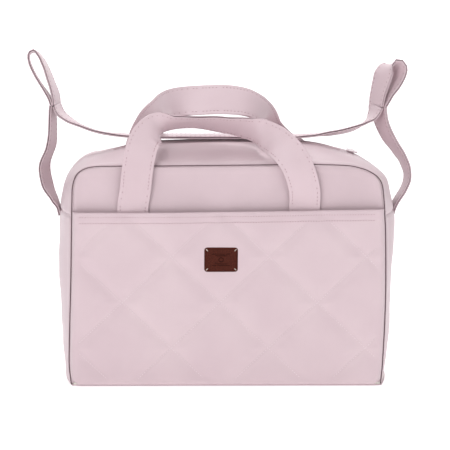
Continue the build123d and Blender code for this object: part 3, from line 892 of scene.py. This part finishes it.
def ribbon_piece(name, frames, width, thickness, body, stands_for, bend=None, seed=0.0):
    """Wraps a grid round the section at every frame, closes its ends, and lays the stitches."""
    around = 68

    def rule(u, v):
        here, along, across = frames[min(len(frames) - 1, round(v * (len(frames) - 1)))]
        out = along.cross(across)
        side, rise = section_point(u, width, thickness)
        return here + across * side + out * (rise + ribbon_wave(here, side, seed))
    mesh = cloth(rule, around, len(frames) - 1)
    # The faces run round the section in order, so a face's number says whether it is in a slit. Slit faces
    # take the dark second material: partly real backing cloth at the cut edge, partly painted shade.
    for index, face in enumerate(mesh.faces):
        if 0.78 < (2 * (index % around) / around) % 1.0 < 0.84:
            face.material_index = 1
    bmesh.ops.holes_fill(mesh, edges=[e for e in mesh.edges if e.is_boundary], sides=0)
    finish_piece(mesh, name, [strap_skin, raw_backing_and_painted_shade], body, stands_for, bend=bend)
    spots, run = [], 0.0
    for (here, along, across), (there, _, _) in zip(frames, frames[1:]):
        run += (there - here).length
        if run < 4.2:
            continue
        run = 0.0
        out = along.cross(across)
        for face in (1, -1):
            for edge in (1, -1):
                side = edge * (width / 2 - stitch_inset)
                rise = face * (thickness / 2 - stitch_groove + ribbon_crown(side, width) + 0.2)
                spot = here + across * side + out * (rise + ribbon_wave(here, side, seed))
                spots.append((spot, along, out * face))
    # The stitches use the darker thread, whose colour is painted shade.
    beads(name + "_stitches", spots, (2.5, 1.0, 0.8), thread_painted_shade, body, bend=bend)


# %% Handle routes, repeated from the CAD model
handle_width, handle_thickness = 38.0, 3.0
leg_left, leg_right, leg_foot = -12 - 209.5 / 2, -12 + 209.5 / 2, 224.5
front_y, back_y = -82.1, 82.1
front_route = [
    ((leg_left, front_y, leg_foot - 60), (-1, 0, 0)), ((leg_left, front_y, leg_foot - 30), (-1, 0, 0)),
    ((leg_left, front_y, leg_foot), (-1, 0, 0)),
    ((leg_left + 3, front_y - 2.5, leg_foot + 21), (-1, 0, 0.04)),
    ((leg_left + 6.3, front_y - 4, leg_foot + 50), (-1, 0, 0.08)),
    ((leg_left + 12.3, front_y - 2, leg_foot + 77), (-1, -0.05, 0.2)),
    ((leg_left + 23, front_y + 10, leg_foot + 92), (-0.78, -0.42, 0.45)),
    ((leg_left + 44, front_y + 29, leg_foot + 99), (-0.15, -0.9, 0.42)),
    ((leg_left + 75, front_y + 39, leg_foot + 100), (0, -0.9, 0.42)),
    ((leg_left + 112, front_y + 37, leg_foot + 97), (0.05, -0.82, 0.56)),
    ((leg_right - 66, front_y + 30, leg_foot + 92.5), (0.2, -0.7, 0.66)),
    ((leg_right - 46, front_y + 17, leg_foot + 86), (0.5, -0.42, 0.66)),
    ((leg_right - 29, front_y + 2, leg_foot + 76), (0.72, -0.12, 0.6)),
    ((leg_right - 16, front_y - 5, leg_foot + 62), (0.85, 0, 0.5)),
    ((leg_right - 7.5, front_y - 7, leg_foot + 46.5), (0.93, 0, 0.36)),
    ((leg_right - 0.5, front_y - 4, leg_foot + 22), (1, 0, 0.06)),
    ((leg_right, front_y, leg_foot), (1, 0, 0)), ((leg_right, front_y, leg_foot - 30), (1, 0, 0)),
    ((leg_right, front_y, leg_foot - 60), (1, 0, 0)),
]
back_route = [
    ((leg_left, back_y, leg_foot - 60), (-1, 0, 0)), ((leg_left, back_y, leg_foot - 30), (-1, 0, 0)),
    ((leg_left, back_y, leg_foot), (-1, 0, 0)), ((leg_left + 2, back_y + 5, leg_foot + 32), (-1, 0, 0)),
    ((leg_left + 9, back_y + 5, leg_foot + 62), (-1, 0.12, 0.12)),
    ((leg_left + 20, back_y - 18, leg_foot + 87), (-0.85, 0.3, 0.45)),
    ((leg_left + 32, back_y - 62, leg_foot + 105), (-0.45, 0.5, 0.74)),
    ((leg_left + 40, back_y - 98, leg_foot + 117), (-0.2, 0.5, 0.84)),
    ((leg_left + 56, back_y - 126, leg_foot + 125), (0, 0.47, 0.88)),
    ((leg_left + 82, back_y - 137, leg_foot + 128.3), (0, 0.45, 0.89)),
    ((leg_left + 115, back_y - 136, leg_foot + 129), (0, 0.46, 0.89)),
    ((leg_right - 66, back_y - 125, leg_foot + 123.5), (0.08, 0.57, 0.82)),
    ((leg_right - 47, back_y - 99, leg_foot + 108), (0.3, 0.7, 0.65)),
    ((leg_right - 41, back_y - 57, leg_foot + 87), (0.75, -0.3, 0.5)),
    ((leg_right - 24, back_y - 22, leg_foot + 70), (0.9, -0.3, 0.3)),
    ((leg_right - 3, back_y + 6, leg_foot + 53), (0.99, 0, 0.12)),
    ((leg_right, back_y + 6, leg_foot + 30), (1, 0, 0)),
    ((leg_right, back_y, leg_foot), (1, 0, 0)), ((leg_right, back_y, leg_foot - 30), (1, 0, 0)),
    ((leg_right, back_y, leg_foot - 60), (1, 0, 0)),
]
for side, route in (("front", front_route), ("back", back_route)):
    frames = ribbon_frames(route, 4.2)
    stands = (side + "_handle", side + "_handle_foot_left", side + "_handle_foot_right")
    ribbon_piece(side + "_handle_ribbon", frames, handle_width, handle_thickness,
                 side + "_handle", stands,
                 bend=("bag", side + "_handle", (0, 0, 0.2185), (0, 0, 0.2285)), seed=len(side))
    print(side, "handle frames:", len(frames))

# %% [markdown]
# ## The long strap
# One strap is caught in the seam on each side, rises, is pinched into a hanging loop by a
# row of stitches, and crosses over the zip. The loops turn about their stitching, so each is
# a piece of its own; here each loop stays fixed where it is built.

# %% Strap routes
strap_width, strap_thickness = 34.0, 3.5
tack_z = 342.0
left_tack, right_tack = -215.5, 190.0
shift = 2.25
strap_low = 302.65
foot_x = 212.35
loop_foot = tack_z + 0.2


def strap_route(points):
    """Stations from (x, z, twist, dip): twist moves the far edge sideways, dip lowers it."""
    made = []
    for x, z, twist, *dip in points:
        low = dip[0] if dip else 0.0
        made.append(((x, 0, z), (twist, math.sqrt(1 - twist * twist - low * low), -low)))
    return made


drop_left = [(-209.8, 204, 0), (-foot_x, 214, 0), (-foot_x - 5, 224, 0.12), (-foot_x - 13.5, 243, 0.3),
             (-foot_x - 16.5, 266, 0.3), (-foot_x - 8.5, 289, 0.26),
             (left_tack - shift - 0.6, tack_z - 32, 0.2),
             (left_tack - shift - 0.2, tack_z - 9, 0.15), (left_tack - shift, tack_z, 0.12)]
drop_right = [(209.8, 205, 0), (foot_x, 214, 0), (foot_x + 4, 222, 0), (foot_x + 13, 237, -0.02),
              (foot_x + 17, 252, -0.08), (foot_x + 13, 269, -0.2), (foot_x + 4, 284, -0.32),
              (foot_x - 8, 301, -0.4), (right_tack + shift + 3, tack_z - 22, -0.4),
              (right_tack + shift + 0.2, tack_z - 8, -0.38), (right_tack + shift, tack_z, -0.37)]
loop_left = [(left_tack - shift, loop_foot, 0.05), (left_tack - 8, loop_foot + 11, -0.03),
             (left_tack - 16.5, loop_foot + 24, -0.09), (left_tack - 25.5, loop_foot + 39, -0.11),
             (left_tack - 31, loop_foot + 52.5, -0.1), (left_tack - 31, loop_foot + 62, -0.06, 0.08),
             (left_tack - 25, loop_foot + 66, 0.0, 0.12), (left_tack - 18.5, loop_foot + 60.5, 0.05, 0.1),
             (left_tack - 11, loop_foot + 47.5, 0.08, 0.04), (left_tack - 4.5, loop_foot + 29.5, 0.12),
             (left_tack + 1, loop_foot + 12, 0.17), (left_tack + shift, loop_foot, 0.18)]
loop_right = [(right_tack - shift, loop_foot, -0.37), (right_tack - 0.2, loop_foot + 14, -0.42, 0.04),
              (right_tack + 3, loop_foot + 28, -0.5, 0.1),
              (right_tack + 6.5, loop_foot + 40, -0.58, 0.18),
              (right_tack + 12, loop_foot + 48, -0.62, 0.26),
              (right_tack + 18.5, loop_foot + 50.5, -0.6, 0.3),
              (right_tack + 23.2, loop_foot + 46.5, -0.58, 0.28),
              (right_tack + 23, loop_foot + 38, -0.54, 0.2),
              (right_tack + 18, loop_foot + 26, -0.48, 0.1), (right_tack + 10, loop_foot + 14, -0.42, 0.05),
              (right_tack + shift, loop_foot, -0.37)]
top_run = [(left_tack + shift, tack_z, 0.18), (left_tack + shift + 4, tack_z - 9, 0.2),
           (left_tack + 15, strap_low + 22, 0.13), (left_tack + 35, strap_low + 11.5, 0.04, 0.1),
           (left_tack + 58, strap_low + 4, 0, 0.12), (left_tack + 92, strap_low + 0.3, 0, 0.05),
           (-71, strap_low, 0), (0, strap_low, 0), (71, strap_low, 0),
           (right_tack - 86, strap_low + 1.2, 0, 0.06),
           (right_tack - 58, strap_low + 4, 0, 0.2), (right_tack - 33, strap_low + 9.5, -0.03, 0.24),
           (right_tack - 15, strap_low + 18, -0.12, 0.2),
           (right_tack - shift - 3.5, tack_z - 11, -0.28, 0.06),
           (right_tack - shift, tack_z, -0.37)]
loop_bend = {side: ("bag", side + "_loop", (0, 0, (tack_z + 0.1) * MM), (0, 0, (tack_z + 6) * MM))
             for side in ("left", "right")}
for name, points, body, bend, stands in (
        ("strap_left_drop", drop_left, "bag", None, ("strap_drop_left",)),
        ("strap_right_drop", drop_right, "bag", None, ("strap_drop_right",)),
        ("strap_over_top", top_run, "bag", None, ("strap_top_run",)),
        ("strap_left_loop", loop_left, "left_loop", loop_bend["left"], ("strap_loop_left",)),
        ("strap_right_loop", loop_right, "right_loop", loop_bend["right"], ("strap_loop_right",))):
    frames = ribbon_frames(strap_route(points), 3.0)
    ribbon_piece(name, frames, strap_width, strap_thickness, body, stands, bend=bend,
                 seed=len(name) * 1.7)
print("strap pieces done")

# %% Rows of tack stitches that pinch each loop
tack_pitch = 1.6
for side, tack_x, twist in (("left", left_tack, 0.17), ("right", right_tack, -0.37)):
    spots = []
    for face in (-1, 1):
        off = face * (shift + strap_thickness / 2 + 0.3)
        for level in (-3.0, -6.5):
            for count in range(-9, 10):
                run = count * tack_pitch
                spot = Vector((tack_x + off + twist * run, run - twist * off, tack_z + level))
                slant = Vector((twist, 1, 0.25 * (-1) ** count))
                spots.append((spot, slant, Vector((face, -face * twist, 0))))
    beads(side + "_tack_stitches", spots, (1.9, 0.8, 0.7), thread, "bag",
          ("strap_tack_" + side,))
print("tacks done")

# %% [markdown]
# ## Floor, light and camera
# A soft bag on a white table, lit by large soft lamps, as in a catalogue.
# Large lamps close by give wide, soft shadows; small ones would cut hard edges.

# %% Floor, and a backdrop of the same lit paper far behind
def paper_sheet(name, paper_name, strength, place):
    """Wide flat sheet of matt white paper that glows a little, as lit paper does."""
    mesh = bmesh.new()
    bmesh.ops.create_grid(mesh, x_segments=1, y_segments=1, size=6.0, matrix=place)
    data = bpy.data.meshes.new(name)
    mesh.to_mesh(data)
    mesh.free()
    sheet = bpy.data.objects.new(name, data)
    bpy.context.scene.collection.objects.link(sheet)
    paper, tree, surface, coordinates = new_material(
        paper_name, Roughness=0.9, Emission_Color=(1, 1, 1, 1), Emission_Strength=strength)
    grain = add(tree, "ShaderNodeTexNoise", Vector=(coordinates, "Object"), Scale=300.0)
    tint(tree, surface, "#FFFFFF", "#FBFAFB", (grain, "Fac"))
    data.materials.append(paper)


upright = Matrix.Translation((0, 5.9, 5.9)) @ Matrix.Rotation(math.radians(90), 4, "X")
paper_sheet("studio_floor", "studio_paper_lit", 0.4, Matrix.Identity(4))
paper_sheet("studio_backdrop", "studio_backdrop_lit", 0.9, upright)

# %% Light
world = bpy.data.worlds.new("studio_white")
bpy.context.scene.world = world
world.use_nodes = True
background = world.node_tree.nodes["Background"]
background.inputs["Color"].default_value = (1.0, 1.0, 1.0, 1.0)
background.inputs["Strength"].default_value = 0.42


def lamp(name, place, aim, size, power):
    """Square soft lamp at a place, pointing at aim, in metres and watts."""
    data = bpy.data.lights.new(name, "AREA")
    data.shape = "SQUARE"
    data.size = size
    data.energy = power
    made = bpy.data.objects.new(name, data)
    made.location = place
    made.rotation_euler = (Vector(aim) - Vector(place)).to_track_quat("-Z", "Y").to_euler()
    bpy.context.scene.collection.objects.link(made)
    return made


lamp("key_softbox", (-0.9, -1.9, 1.7), (0, 0, 0.15), 1.0, 22)
lamp("fill_softbox", (1.7, -1.5, 0.9), (0, 0, 0.15), 1.4, 5)
lamp("top_softbox", (0.2, 0.2, 2.0), (0, 0, 0.1), 1.0, 16)
bpy.context.scene.view_settings.view_transform = "Standard"

# %% Camera
camera_data = bpy.data.cameras.new("front_camera")
camera_data.lens = 144.6
camera_data.sensor_width = 36.0
camera = bpy.data.objects.new("front_camera", camera_data)
azimuth, elevation, distance = math.radians(-2), math.radians(10), 2.3
target = Vector((0.0, 0.0, 0.150))
away = Vector((math.sin(azimuth) * math.cos(elevation), -math.cos(azimuth) * math.cos(elevation),
               math.sin(elevation)))
camera.location = target + away * distance
look = (target - camera.location).to_track_quat("-Z", "Y").to_matrix()
camera.rotation_euler = (look @ Matrix.Rotation(math.radians(0.38), 3, "Z")).to_euler()
camera_data.shift_y = 0.06822
camera_data.shift_x = -0.00211
bpy.context.scene.collection.objects.link(camera)
bpy.context.scene.camera = camera
print("camera at", [round(v, 3) for v in camera.location])

# %% Print how many pieces were made
print("pieces made:", len(pieces))
